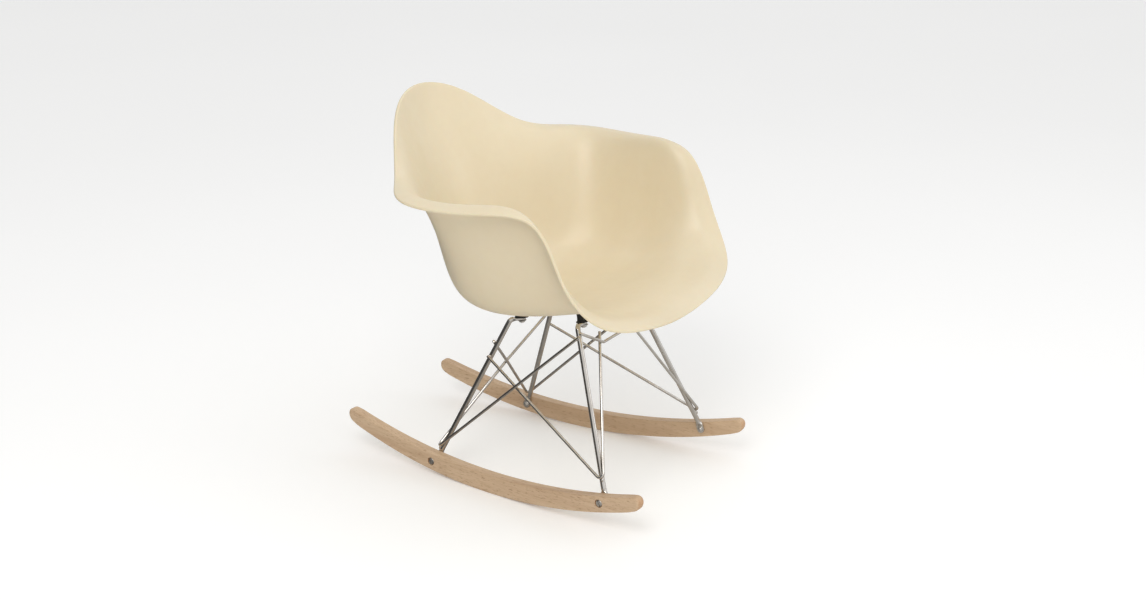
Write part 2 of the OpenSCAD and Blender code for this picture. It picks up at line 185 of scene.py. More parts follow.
def shell_plastic():
    """Cream moulded plastic: a satin gloss, faint flow marks, fine mould grain and light scuffs."""
    m = Nodes("shell_plastic")
    flow = m.noise(m.mapped(scale=(1.0, 1.4, 0.7)), 3.2, 4.0, 0.55, 0.6)
    color = m.ramp(flow, [(0.30, (0.715, 0.620, 0.432)), (0.70, (0.750, 0.660, 0.478))])
    mottle = m.span(m.noise(m.coords, 60.0, 4.0, 0.6), 0.0, 0.12, 0.40, 0.75)
    m.link(m.mix(mottle, color, (0.66, 0.545, 0.365)), m.shader.inputs["Base Color"])
    scuffs = m.noise(m.mapped(scale=(9, 3, 9)), 6.0, 6.0, 0.62, 0.4)
    m.link(m.span(scuffs, 0.34, 0.45, 0.35, 0.75), m.shader.inputs["Roughness"])
    grain = m.noise(m.coords, 1500.0, 2.0, 0.5)
    waves = m.noise(m.coords, 14.0, 2.0, 0.5)
    soft = m.bump(waves, 0.0008, 0.35)
    m.link(m.bump(grain, 0.00006, 0.5, soft), m.shader.inputs["Normal"])
    m.set(Specular_IOR_Level=0.5, IOR=1.49, Subsurface_Weight=0.12, Subsurface_Scale=0.012,
          Subsurface_Radius=(1.0, 0.55, 0.25), Coat_Weight=0.16, Coat_Roughness=0.18)
    return m.material


def mount_rubber():
    """Black rubber with a pale bloom in patches and a fine grain."""
    m = Nodes("mount_rubber")
    bloom = m.noise(m.coords, 160.0, 5.0, 0.6)
    m.link(m.ramp(bloom, [(0.35, (0.012, 0.012, 0.012)), (0.75, (0.032, 0.031, 0.030))]),
           m.shader.inputs["Base Color"])
    m.link(m.span(bloom, 0.50, 0.78), m.shader.inputs["Roughness"])
    m.link(m.bump(m.noise(m.coords, 1400.0, 3.0), 0.00008, 0.6), m.shader.inputs["Normal"])
    m.set(Specular_IOR_Level=0.4)
    return m.material


def rod_chrome():
    """Chrome plate over drawn rod: fine drawing lines, a hazy cast and some brown specks."""
    m = Nodes("rod_chrome")
    haze = m.noise(m.coords, 28.0, 4.0, 0.6)
    color = m.ramp(haze, [(0.30, (0.56, 0.52, 0.475)), (0.70, (0.70, 0.675, 0.64))])
    specks = m.span(m.noise(m.coords, 420.0, 3.0, 0.65), 0.0, 0.75, 0.66, 0.80)
    m.link(m.mix(specks, color, (0.22, 0.15, 0.10)), m.shader.inputs["Base Color"])
    m.link(m.math("ADD", m.span(haze, 0.07, 0.15), m.math("MULTIPLY", specks, 0.3)),
           m.shader.inputs["Roughness"])
    lines = m.noise(m.mapped(scale=(1, 1, 0.12)), 900.0, 3.0, 0.6)
    m.link(m.bump(lines, 0.00003, 0.6), m.shader.inputs["Normal"])
    m.set(Metallic=1.0)
    return m.material


def fixing_steel():
    """Zinc-plated steel: patchy crystals, a duller and rougher finish than chrome."""
    m = Nodes("fixing_steel")
    patches = m.noise(m.coords, 260.0, 5.0, 0.65, 0.5)
    m.link(m.ramp(patches, [(0.30, (0.54, 0.52, 0.49)), (0.72, (0.74, 0.72, 0.69))]),
           m.shader.inputs["Base Color"])
    m.link(m.span(patches, 0.24, 0.44), m.shader.inputs["Roughness"])
    m.link(m.bump(m.noise(m.coords, 1300.0, 2.0), 0.00004, 0.5), m.shader.inputs["Normal"])
    m.set(Metallic=1.0)
    return m.material


def rocker_wood(name, turn, shift):
    """Pale beech. Turn lines the grain up with the board, and shift varies it between boards."""
    m = Nodes(name)
    along = {"rotation": (0, 0, -turn), "location": shift}
    rings = m.noise(m.mapped(scale=(34, 1.6, 30), **along), 1.0, 3.0, 0.55, 0.9)
    fine = m.noise(m.mapped(scale=(420, 9, 420), **along), 1.0, 3.0, 0.6)
    flecks = m.noise(m.mapped(scale=(620, 75, 620), **along), 1.0, 1.0, 0.5)
    pores = m.noise(m.mapped(scale=(1700, 60, 1700), **along), 1.0, 2.0, 0.6)
    broad = m.noise(m.mapped(scale=(6, 3, 6), **along), 1.0, 2.0, 0.5)
    color = m.ramp(rings, [(0.30, (0.500, 0.335, 0.205)), (0.48, (0.585, 0.415, 0.265)),
                           (0.62, (0.630, 0.460, 0.300)), (0.78, (0.555, 0.380, 0.235))])
    color = m.mix(m.span(fine, 0.0, 0.50, 0.45, 0.75), color, (0.430, 0.270, 0.150))
    color = m.mix(m.span(flecks, 0.0, 0.80, 0.60, 0.72), color, (0.330, 0.190, 0.100))
    color = m.mix(m.span(pores, 0.0, 0.50, 0.62, 0.78), color, (0.250, 0.140, 0.075))
    color = m.mix(m.span(broad, 0.0, 0.30, 0.42, 0.70), color, (0.660, 0.470, 0.290))
    # End grain, where the surface faces along the board
    normal = m.tree.nodes.new("ShaderNodeNewGeometry").outputs["Normal"]
    split = m.tree.nodes.new("ShaderNodeSeparateXYZ")
    m.link(normal, split.inputs["Vector"])
    facing = m.span(m.math("ABSOLUTE", split.outputs["Y"]), 0.0, 0.85, 0.45, 0.98)
    end_rings = m.noise(m.mapped(scale=(150, 3, 420), **along), 1.0, 3.0, 0.6, 0.5)
    end_color = m.ramp(end_rings, [(0.35, (0.430, 0.235, 0.120)), (0.65, (0.570, 0.350, 0.190))])
    color = m.mix(facing, color, end_color)
    m.link(color, m.shader.inputs["Base Color"])
    m.link(m.span(fine, 0.42, 0.60), m.shader.inputs["Roughness"])
    pitted = m.bump(pores, 0.00010, 0.5)
    m.link(m.bump(fine, 0.00012, 0.5, pitted), m.shader.inputs["Normal"])
    m.set(Specular_IOR_Level=0.45, Coat_Weight=0.08, Coat_Roughness=0.35)
    return m.material


PLASTIC = shell_plastic()
RUBBER = mount_rubber()
CHROME = rod_chrome()
STEEL = fixing_steel()


# ---- Mesh helpers ----

# Turned parts keep the edges that are sharper than this many degrees.
TURNED_FLAT_OVER = 35


def add_mesh(name, points, faces, material, flat_over=None):
    """A mesh from points in millimetres. Edges sharper than flat_over degrees stay crisp."""
    mesh = bpy.data.meshes.new(name)
    mesh.from_pydata((np.asarray(points, float) * MM).tolist(), [], faces)
    mesh.validate()
    work = bmesh.new()
    work.from_mesh(mesh)
    bmesh.ops.recalc_face_normals(work, faces=work.faces)
    work.to_mesh(mesh)
    work.free()
    mesh.materials.append(material)
    obj = bpy.data.objects.new(name, mesh)
    SCENE.collection.objects.link(obj)
    smooth(obj, flat_over)
    return obj


def smooth(obj, flat_over):
    """Smooth shading, with the edges sharper than flat_over degrees kept crisp."""
    mesh = obj.data
    mesh.polygons.foreach_set("use_smooth", [True] * len(mesh.polygons))
    if flat_over is not None:
        mesh.set_sharp_from_angle(angle=math.radians(flat_over))
    mesh.update()


def cut(obj, tools, flat_over):
    """Takes the tool objects away from obj and applies the result."""
    for tool in tools:
        modifier = obj.modifiers.new("cut", "BOOLEAN")
        modifier.operation = "DIFFERENCE"
        modifier.solver = "EXACT"
        modifier.object = tool
    bpy.context.view_layer.update()
    result = obj.evaluated_get(bpy.context.evaluated_depsgraph_get())
    baked = bpy.data.meshes.new_from_object(result)
    obj.modifiers.clear()
    old = obj.data
    obj.data = baked
    baked.name = obj.name
    bpy.data.meshes.remove(old)
    for tool in tools:
        bpy.data.objects.remove(tool)
    smooth(obj, flat_over)


def join(obj, others):
    """Adds the other objects' meshes to obj's and removes them."""
    work = bmesh.new()
    work.from_mesh(obj.data)
    for other in others:
        work.from_mesh(other.data)
        bpy.data.objects.remove(other)
    work.to_mesh(obj.data)
    work.free()


def basis(direction, side=None):
    """Three axes with the last along direction, and the first towards side where it is given."""
    z = unit(direction)
    if side is None:
        side = (1, 0, 0) if abs(z[0]) < 0.9 else (0, 1, 0)
    y = unit(np.cross(z, side))
    return np.stack([np.cross(y, z), y, z])


def ring_faces(rings, steps, first=0):
    """Quads between neighbouring closed rings of points. The first ring starts at index first."""
    faces = []
    for i in range(rings - 1):
        a, b = first + i * steps, first + (i + 1) * steps
        faces += [(a + j, a + (j + 1) % steps, b + (j + 1) % steps, b + j) for j in range(steps)]
    return faces


def lathe(name, profile, at, axis, material, steps=48):
    """A solid turned around an axis from (radius, height) points.

    The profile starts and ends on the axis, or it is a closed loop for a ring.
    """
    axes = basis(axis)
    points, faces, rows = [], [], []
    for radius, height in profile:
        if radius == 0:
            rows.append([len(points)])
            points.append(np.array([0, 0, height]) @ axes + at)
        else:
            rows.append(list(range(len(points), len(points) + steps)))
            for j in range(steps):
                a = 2 * math.pi * j / steps
                local = np.array([radius * math.cos(a), radius * math.sin(a), height])
                points.append(local @ axes + at)
    for low, high in zip(rows, rows[1:]):
        for j in range(steps):
            k = (j + 1) % steps
            if len(low) == 1:
                faces.append((low[0], high[k], high[j]))
            elif len(high) == 1:
                faces.append((low[j], low[k], high[0]))
            else:
                faces.append((low[j], low[k], high[k], high[j]))
    return add_mesh(name, points, faces, material, TURNED_FLAT_OVER)


def block(size, at, axes):
    """A cutting block of the given size, centred on a point, with its sides along the axes."""
    corners = np.array([(x, y, z) for x in (-0.5, 0.5) for y in (-0.5, 0.5) for z in (-0.5, 0.5)])
    points = (corners * size) @ axes + at
    faces = [(0, 1, 3, 2), (4, 6, 7, 5), (0, 4, 5, 1), (2, 3, 7, 6), (0, 2, 6, 4), (1, 5, 7, 3)]
    return add_mesh("block", points, faces, STEEL)


# ---- Seat shell ----

SHELL_T = 5.5
SEAT_Y, SEAT_Z, SEAT_FALL = -35.0, 339.0, 0.14
FLOOR_HALF_W, FLOOR_FRONT_Y, FLOOR_REAR_Y, FLOOR_MID_Y = 208.0, -225.0, 128.0, -68.0
FLOOR_ROUNDNESS, FLOOR_FRONT_RISE, FLOOR_REAR_RISE, FLOOR_SIDE_RISE = 2.7, 0.2, 0.03, 20.0
# The same steering lines as the CAD's, for the sitter's left half from front to back
RIM_LINE = np.array([
    (0, -308, 350), (115, -320, 370), (238, -285, 385), (270, -222, 460), (264, -185, 595),
    (313, -62, 579), (328, 75, 582), (268, 122, 592), (195, 170, 597), (108, 242, 685),
    (0, 275, 713)], float)
WALL_LINE = np.array([
    (0, -258, 372), (105, -256, 374), (195, -225, 394), (232, -180, 449), (240, -115, 483),
    (243, -25, 484), (228, 45, 480), (180, 85, 482), (124, 136, 490), (66, 181, 502),
    (0, 196, 505)], float)
# How far the wall's crest stands in from the rim, and up from it
CREST_IN = np.array([25, 27, 32, 38, 48, 50, 50, 42, 28, 17, 11], float)
CREST_UP = np.array([12, 12, 14, 20, 24, 18, 15, 8, -16, -44, -62], float)
LAST_SPOKE = len(RIM_LINE) - 1
TURN = 2 * LAST_SPOKE
# Steps to either side over which the shell's slopes are taken
SHARE_STEP, SPOKE_STEP = 0.002, 0.02


def floor_line():
    """The seat floor's edge, a rounded box seen from above, from the front to the back."""
    a = np.pi * np.arange(LAST_SPOKE + 1) / LAST_SPOKE
    n = FLOOR_ROUNDNESS
    k = (np.abs(np.cos(a)) ** n + np.sin(a) ** n) ** (-1 / n)
    reach = np.where(np.cos(a) > 0, FLOOR_MID_Y - FLOOR_FRONT_Y, FLOOR_REAR_Y - FLOOR_MID_Y)
    x = FLOOR_HALF_W * np.sin(a) * k
    y = FLOOR_MID_Y - reach * np.cos(a) * k
    rise = np.where(y < SEAT_Y, FLOOR_FRONT_RISE * (SEAT_Y - y), FLOOR_REAR_RISE * (y - SEAT_Y))
    return np.stack([x, y, SEAT_Z + rise + FLOOR_SIDE_RISE * (x / FLOOR_HALF_W) ** 2], 1)


def shell_lines():
    """The steering lines all round the shell, from its pole out to the rim."""
    outer = floor_line()
    y = (SEAT_Y + outer[:, 1]) / 2
    inner = np.stack([outer[:, 0] / 2, y, SEAT_Z + SEAT_FALL * (SEAT_Y - y)], 1)
    pole = np.tile([0, SEAT_Y, SEAT_Z], (LAST_SPOKE + 1, 1))
    inwards = units((WALL_LINE - RIM_LINE) * [1, 1, 0])
    crest = RIM_LINE + CREST_IN[:, None] * inwards + CREST_UP[:, None] * [0, 0, 1]
    halves = (pole, inner, outer, WALL_LINE, crest, RIM_LINE)
    return np.stack([np.vstack([half, half[-2:0:-1] * [-1, 1, 1]]) for half in halves])


def weights(t):
    """Weights of the four steering points around a place on a cubic B-spline."""
    return np.stack([(1 - t) ** 3 / 6, (3 * t ** 3 - 6 * t ** 2 + 4) / 6,
                     (-3 * t ** 3 + 3 * t ** 2 + 3 * t + 1) / 6, t ** 3 / 6])


LINES = shell_lines()


def spokes(u):
    """Steering points of the spokes at positions u, with one more at each end."""
    k = np.floor(u).astype(int)
    w = weights(u - k)
    p = sum(w[i][None, :, None] * LINES[:, (k - 1 + i) % TURN] for i in range(4))
    return np.concatenate([2 * p[:1] - p[1:2], p, 2 * p[-1:] - p[-2:-1]])


def along(s, r):
    """Points at shares r of the way out, for every spoke: an array of shares by spokes by 3."""
    f = np.asarray(r, float) * (len(s) - 3)
    k = np.minimum(np.floor(f).astype(int), len(s) - 4)
    w = weights(f - k)
    return sum(w[i][:, None, None] * s[k + i] for i in range(4))


def face_and_normal(u, r):
    """Sitting face and the direction out of it, at spoke positions u and shares r."""
    u = np.atleast_1d(np.asarray(u, float))
    r = np.atleast_1d(np.asarray(r, float))
    s = spokes(u)
    out = along(s, np.minimum(1, r + SHARE_STEP)) - along(s, np.maximum(0, r - SHARE_STEP))
    side = along(spokes(u + SPOKE_STEP), r) - along(spokes(u - SPOKE_STEP), r)
    n = np.cross(out, side)
    return along(s, r), n / np.linalg.norm(n, axis=2, keepdims=True)


def make_shell(spoke_count=288, ring_count=84, edge_steps=10):
    """Sitting face, rounded rim and underside as one closed skin around the pole in the seat."""
    u = TURN * np.arange(spoke_count) / spoke_count
    shares = np.arange(1, ring_count + 1) / ring_count
    top, normals = face_and_normal(u, shares)
    out = units(top[-1] - along(spokes(u), [0.99])[0])
    middle = top[-1] - SHELL_T / 2 * normals[-1]
    turns = np.pi * np.arange(1, edge_steps) / edge_steps
    edge = [middle + SHELL_T / 2 * (math.cos(a) * normals[-1] + math.sin(a) * out) for a in turns]
    rows = list(top) + edge + list((top - SHELL_T * normals)[::-1])
    up = unit((0, SEAT_FALL, 1))
    pole = np.array([0, SEAT_Y, SEAT_Z])
    points = np.vstack([[pole, pole - SHELL_T * up], np.concatenate(rows)])
    n = spoke_count
    faces = ring_faces(len(rows), n, first=2)
    last = 2 + (len(rows) - 1) * n
    faces += [(0, 2 + (j + 1) % n, 2 + j) for j in range(n)]
    faces += [(1, last + j, last + (j + 1) % n) for j in range(n)]
    shell = add_mesh("seat_shell_moulded", points, faces, PLASTIC)
    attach(shell, "root")
    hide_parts("seat_shell")


make_shell()


# ---- Mounts, screws and washers under the seat ----

GAP = 0.1
MOUNT_UV = {"front": (1.869, 0.251), "rear": (7.143, 0.139)}
MOUNT_H, MOUNT_D = 21.0, 26.0
WAIST_IN = 2.5
SEAT_WASHER_T = 1.5
SCREW_SLOT = (6.6, 1.3, 4.0)
FOOT_T, FOOT_W, FOOT_REACH = 5.0, 14.0, 21.5
FOOT_DIR = {"front": (1, -0.05, 0), "rear": (0.7, 0.71, 0)}
ENDS = ("front", "rear")
SIDES = (("left", 1), ("right", -1))


def mount_place(end):
    """Middle of a left mount's lower face, and the direction from there up into the shell."""
    face, normal = face_and_normal(*MOUNT_UV[end])
    up = normal[0, 0]
    return face[0, 0] - (SHELL_T + 3 * GAP + MOUNT_H) * up, up


MOUNTS = {end: mount_place(end) for end in ENDS}


def mount_profile():
    """A spool with eased flanges, from its lower face to its upper one."""
    r, waist = MOUNT_D / 2, MOUNT_D / 2 - WAIST_IN
    flange = [(r - 0.4, 0), (r, 0.4), (r, 1.2), (r - 0.4, 1.6), (waist + 0.7, 1.7),
              (waist + 0.2, 2.1), (waist, 2.8)]
    upper = [(radius, MOUNT_H - height) for radius, height in flange[::-1]]
    return [(0, GAP), (5.2, GAP), *flange, (waist - 0.7, MOUNT_H / 2), *upper, (0, MOUNT_H)]


SEAT_WASHER_PROFILE = [(3.2, 0.35), (3.5, 0), (8.1, 0), (8.5, 0.4), (8.5, 1.1), (8.1, 1.5),
                       (3.5, 1.5), (3.2, 1.2), (3.2, 0.35)]
# The pan head hangs below the screw's zero height, and the shank stands above it.
SEAT_SCREW_PROFILE = [(0, -3.9), (2.2, -3.85), (3.8, -3.5), (5.1, -2.7), (5.8, -1.6), (6.0, -0.5),
                      (6.0, 0), (3.0, 0), (3.0, 15), (2.6, 15.5), (0, 15.5)]


def make_mount(end, side, sign):
    """One rubber mount with the washer and the screw below it."""
    base, up = (p * [sign, 1, 1] for p in MOUNTS[end])
    mount = lathe(f"shock_mount_{end}_{side}_rubber", mount_profile(), base, up, RUBBER)
    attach(mount, "root")
    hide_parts(f"shock_mount_{end}_{side}")
    below = base - (FOOT_T + SEAT_WASHER_T + 3 * GAP) * up
    washer = lathe(f"seat_washer_{end}_{side}_ring", SEAT_WASHER_PROFILE, below + GAP * up, up,
                   STEEL)
    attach(washer, "root")
    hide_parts(f"seat_washer_{end}_{side}")
    screw = lathe(f"seat_screw_{end}_{side}_pan", SEAT_SCREW_PROFILE, below, up, STEEL)
    head_face = below + SEAT_SCREW_PROFILE[0][1] * up
    long, wide, deep = SCREW_SLOT
    cut(screw, [block(size, head_face, basis(up)) for size in (SCREW_SLOT, (wide, long, deep))],
        TURNED_FLAT_OVER)
    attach(screw, "root")
    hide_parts(f"seat_screw_{end}_{side}")


for mount_end in ENDS:
    for mount_side, mount_sign in SIDES:
        make_mount(mount_end, mount_side, mount_sign)


# ---- Rockers and their fixings ----

ROCKER_L, ROCKER_T, ROCKER_H, ROLL_R, CROWN_R = 684.0, 20.0, 36.5, 1010.0, 1200.0
ROCKER_X, TOE = 184.5, math.radians(4.0)
BOLT_Y = {"front": -257.0, "rear": 132.0}
BOLT_UP = 17.0
TIP_LOW_ROUND, TIP_HIGH_ROUND = 17.0, 10.0
# The boards' edges are eased by this much, and more within the last stretch before a tip.
EASED_EDGE, EASED_TIP = 1.8, 5.5
TIP_STRETCH, EASE_STRETCH = 26, 22
BOARD_FLAT_OVER = 25
BIG_FACE_M2 = 0.001
ROCKER_WASHER_T = 1.2
EYE_T, EYE_W, EYE_REACH, ROD_STAND = 5.0, 15.0, 20.0, 0.5
NUT_SINK = 0.8
NUT_SLOT, BOLT_SLOT = (20, 2.4, 5.4), (6.0, 1.2, 3.0)
# How far the nuts' slots are turned from level
SLOT_TURN = {"front": math.radians(62), "rear": math.radians(38)}
BORE_PROFILE = [(0, -2), (9.8, -2), (7.8, 0.2), (7.8, 4.4), (4.1, 4.4), (4.1, 22), (0, 22)]
NUT_PROFILE = [(0, 0.1), (5.7, 0.1), (6.3, 0.6), (6.3, 2.2), (4.0, 2.2), (4.0, 17.8), (3.6, 18.2),
               (2.6, 18.2), (2.6, 4.2), (0, 4.2)]
ROCKER_WASHER_PROFILE = [(2.7, 0.3), (3.0, 0), (6.1, 0), (6.5, 0.35), (6.5, 0.85), (6.1, 1.2),
                         (3.0, 1.2), (2.7, 0.9), (2.7, 0.3)]
# The round head stands above the bolt's zero height, at the washer, and its shank reaches below it.
BOLT_HEAD_PROFILE = [(2.45, 0), (5.0, 0), (5.0, 0.9), (4.7, 1.9), (3.8, 2.7), (2.3, 3.1), (0, 3.2)]


def from_rocker(p, sign=1):
    """A point in rocker space, where X is 0 at the outer face, on either side of the chair."""
    x, y, z = p
    return np.array([sign * (ROCKER_X + x * math.cos(TOE) - y * math.sin(TOE)),
                     x * math.sin(TOE) + y * math.cos(TOE), z])


def rocker_bolt(end, sign=1):
    """Where a bolt's middle line meets the rocker's outer face."""
    return from_rocker((0, BOLT_Y[end], bolt_z(end)), sign)


def rocker_inwards(sign=1):
    """Direction through the board from its outer face."""
    return from_rocker((-1, 0, 0), sign) - from_rocker((0, 0, 0), sign)


def bolt_z(end):
    """The bolts keep one distance from the rolling curve."""
    return ROLL_R - math.sqrt((ROLL_R - BOLT_UP) ** 2 - BOLT_Y[end] ** 2)


def arc(middle, radius, start, stop, steps):
    """Points on an arc between two angles."""
    a = np.linspace(start, stop, steps + 1)
    return np.stack([middle[0] + radius * np.cos(a), middle[1] + radius * np.sin(a)], 1)


def rocker_outline():
    """The board's side view, anticlockwise, as (along, up) points with the tips' rounds."""
    low_turn = math.asin(TIP_LOW_ROUND / (ROLL_R - TIP_LOW_ROUND))
    tip = low_turn + math.asin((ROCKER_L / 2 - TIP_LOW_ROUND) / (ROLL_R - TIP_LOW_ROUND))
    crown = (ROCKER_H + CROWN_R - ROLL_R) * np.array([math.sin(tip), math.cos(tip)])
    low = (ROLL_R - TIP_LOW_ROUND) * np.array([-math.sin(low_turn), -math.cos(low_turn)])
    high = np.array([-TIP_HIGH_ROUND, crown[1] - math.sqrt((CROWN_R + TIP_HIGH_ROUND) ** 2
                                                           - (crown[0] + TIP_HIGH_ROUND) ** 2)])
    turn = np.array([[math.cos(tip), math.sin(tip)], [-math.sin(tip), math.cos(tip)]])

    def place(p):
        return p @ turn + [0, ROLL_R]

    # From the lowest point to the front of the lower round, up the end, and back along the top
    low_way, high_way = unit(low), unit(crown - high)
    bottom = arc((0, ROLL_R), ROLL_R, -math.pi / 2,
                 math.atan2(*(place(low + TIP_LOW_ROUND * low_way) - [0, ROLL_R])[::-1]), 110)
    lower = arc(low, TIP_LOW_ROUND, math.atan2(low_way[1], low_way[0]), 0, 14)
    upper = arc(high, TIP_HIGH_ROUND, 0, math.atan2(high_way[1], high_way[0]), 10)
    # The two rounds run into each other, so each stops short of half way between their middles.
    meet, short = (low[1] + high[1]) / 2, 0.3
    lower = place(lower[lower[:, 1] < meet - short])
    upper = place(upper[upper[:, 1] > meet + short])
    crown_mid = np.array([0, ROCKER_H + CROWN_R])
    end_angle = math.atan2(*(upper[-1] - crown_mid)[::-1])
    top = arc(crown_mid, CROWN_R, end_angle, -math.pi / 2, 110)
    half = np.vstack([bottom, lower[1:], upper, top[1:]])
    return np.vstack([half, (half * [-1, 1])[-2:0:-1]])


def inset(outline, distance):
    """The outline moved inwards by a distance for each of its points."""
    way = units(units(np.roll(outline, -1, 0) - outline) + units(outline - np.roll(outline, 1, 0)))
    return outline + distance[:, None] * np.stack([-way[:, 1], way[:, 0]], 1)


def make_rocker(side, sign):
    """A board with eased edges, bored and recessed for its nuts."""
    outline = rocker_outline()
    count = len(outline)
    share = np.clip((np.abs(outline[:, 0]) - ROCKER_L / 2 + TIP_STRETCH) / EASE_STRETCH, 0, 1)
    ease = EASED_EDGE + (EASED_TIP - EASED_EDGE) * share ** 2 * (3 - 2 * share)
    turns = np.linspace(0, math.pi / 2, 7)
    levels = [(1 - math.sin(a), 1 - math.cos(a), 0) for a in turns]
    levels += [(1 - math.sin(a), math.cos(a) - 1, ROCKER_T) for a in turns[::-1]]
    points = []
    for depth_in, depth_x, base in levels:
        for (y, z), e in zip(inset(outline, depth_in * ease), ease):
            points.append(from_rocker((-base - depth_x * e, y, z), sign))
    faces = [tuple(range(count)), tuple(range(len(points) - count, len(points)))]
    faces += ring_faces(len(levels), count)
    wood = rocker_wood(f"rocker_wood_{side}", sign * TOE, (0.31 * sign, 0.07, 0.13 + 0.05 * sign))
    board = add_mesh(f"rocker_{side}_board", points, faces, wood, BOARD_FLAT_OVER)
    cut(board, [lathe("bore", BORE_PROFILE, rocker_bolt(end, sign), rocker_inwards(sign), wood,
                      steps=40) for end in ENDS], BOARD_FLAT_OVER)
    # The two broad sides are flat, and smooth shading would bend them at the bores.
    for face in board.data.polygons:
        if face.area > BIG_FACE_M2:
            face.use_smooth = False
    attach(board, "root")
    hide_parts(f"rocker_{side}")


def make_rocker_fixings(end, side, sign):
    """A slotted nut in the board's outer face, and a washer and a bolt on its inner one."""
    bolt, inwards = rocker_bolt(end, sign), rocker_inwards(sign)
    nut = lathe(f"sleeve_nut_{end}_{side}_slotted", NUT_PROFILE, bolt + NUT_SINK * inwards,
                inwards, STEEL)
    slot_axes = basis(inwards, (0, math.cos(SLOT_TURN[end]), math.sin(SLOT_TURN[end])))
    cut(nut, [block(NUT_SLOT, bolt + 0.5 * inwards, slot_axes)], TURNED_FLAT_OVER)
    washer = lathe(f"rocker_washer_{end}_{side}_ring", ROCKER_WASHER_PROFILE,
                   bolt + (ROCKER_T + EYE_T + 2 * GAP) * inwards, inwards, STEEL)
    seat = ROCKER_T + EYE_T + ROCKER_WASHER_T + 3 * GAP
    shank = [(0, 7.0 - seat), (2.1, 7.0 - seat), (2.45, 7.4 - seat)]
    head = lathe(f"rocker_bolt_{end}_{side}_round", shank + BOLT_HEAD_PROFILE,
                 bolt + seat * inwards, inwards, STEEL)
    slot_axes = basis(inwards, (0, 0.6, 0.8))
    cut(head, [block(BOLT_SLOT, bolt + (seat + 3.4) * inwards, slot_axes)], TURNED_FLAT_OVER)
    for piece, node in ((nut, "sleeve_nut"), (washer, "rocker_washer"), (head, "rocker_bolt")):
        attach(piece, "root")
        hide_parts(f"{node}_{end}_{side}")


for rocker_side, rocker_sign in SIDES:
    make_rocker(rocker_side, rocker_sign)
    for rocker_end in ENDS:
        make_rocker_fixings(rocker_end, rocker_side, rocker_sign)


# ---- Rods and wires ----

ROD_R, WIRE_R = 4.75, 2.75
ROD_BEND, EYE_BEND, WIRE_BEND, CROSSING_BEND = 10.0, 6.0, 7.0, 150.0
EYE_LEAN = {"front": math.radians(19.0), "rear": math.radians(-23.0)}
# Distances from the eye's middle at which its flat part ends and the rod's lower corner stands
EYE_FLAT, EYE_DROP = 9.0, 15.5
# Distances from a strip's end at which it starts to round off, and at which it is a round rod
FOOT_ROUNDING, EYE_ROUNDING = (18.5, 26.0), (15.0, 24.0)
SCREW_BORE_R, BOLT_BORE_R, BORE_REACH = 3.25, 2.75, 6
BAR_FLAT_OVER = 40
# A bar's sections run from a flat strip's squareness to a round rod's.
SQUARE, ROUND = 6.0, 2.0
# A carried side direction starts and stops turning this far from a path's ends.
TWIST_MARGIN = 40


def bent_path(corners, bends, step):
    """Points about a step apart, along a path whose corners are bent to the given radii."""
    corners = [np.asarray(c, float) for c in corners]
    points = [corners[0]]
    for i in range(1, len(corners) - 1):
        a, b = unit(corners[i] - corners[i - 1]), unit(corners[i + 1] - corners[i])
        angle = math.acos(np.clip(a @ b, -1, 1))
        side = unit(b - (a @ b) * a)
        radius = bends[i - 1]
        start = corners[i] - radius * math.tan(angle / 2) * a
        middle = start + radius * side
        steps = max(4, int(angle / math.radians(7)))
        points.append(start)
        for t in np.linspace(0, angle, steps + 1)[1:]:
            points.append(middle + radius * (math.sin(t) * a - math.cos(t) * side))
    points.append(corners[-1])
    fine = [points[0]]
    for p, q in zip(points, points[1:]):
        count = max(1, int(np.linalg.norm(q - p) / step))
        fine += [p + (q - p) * k / count for k in range(1, count + 1)]
    return np.array(fine)


def square_to(way, v):
    """The direction nearest to v that is square to a unit way."""
    v = np.asarray(v, float)
    return unit(v - (v @ way) * way)


def lengths_along(path):
    return np.concatenate([[0], np.cumsum(np.linalg.norm(np.diff(path, axis=0), axis=1))])


def frames_along(path, first, last=None):
    """Sideways directions carried along a path without twisting, and then turned to end on last."""
    ways = units(np.gradient(path, axis=0))
    side = square_to(ways[0], first)
    sides = [side]
    for way in ways[1:]:
        side = square_to(way, side)
        sides.append(side)
    sides = np.array(sides)
    if last is not None:
        goal = square_to(ways[-1], last)
        twist = math.atan2(np.cross(sides[-1], goal) @ ways[-1], sides[-1] @ goal)
        if abs(twist) > math.pi / 2:
            twist -= math.copysign(math.pi, twist)
        lengths = lengths_along(path)
        share = np.clip((lengths - TWIST_MARGIN) / (lengths[-1] - 2 * TWIST_MARGIN), 0, 1)
        turned = []
        for s, w, t in zip(sides, ways, share * twist):
            turned.append(s * math.cos(t) + np.cross(w, s) * math.sin(t))
        sides = np.array(turned)
    return ways, sides


def tube(name, path, sections, first, last=None, steps=24):
    """A closed chrome bar. Sections are (half width, half thickness, squareness) at the points."""
    ways, sides = frames_along(path, first, last)
    ring = 2 * np.pi * np.arange(steps) / steps
    points = []
    for p, w, s, (half_w, half_t, square) in zip(path, ways, sides, sections):
        across = np.cross(w, s)
        c, d = np.cos(ring), np.sin(ring)
        x = half_w * np.sign(c) * np.abs(c) ** (2 / square)
        y = half_t * np.sign(d) * np.abs(d) ** (2 / square)
        points.append(p + x[:, None] * s + y[:, None] * across)
    rows = len(path)
    faces = ring_faces(rows, steps)
    faces += [tuple(range(steps)), tuple(range((rows - 1) * steps, rows * steps))]
    return add_mesh(name, np.vstack(points), faces, CHROME, BAR_FLAT_OVER)


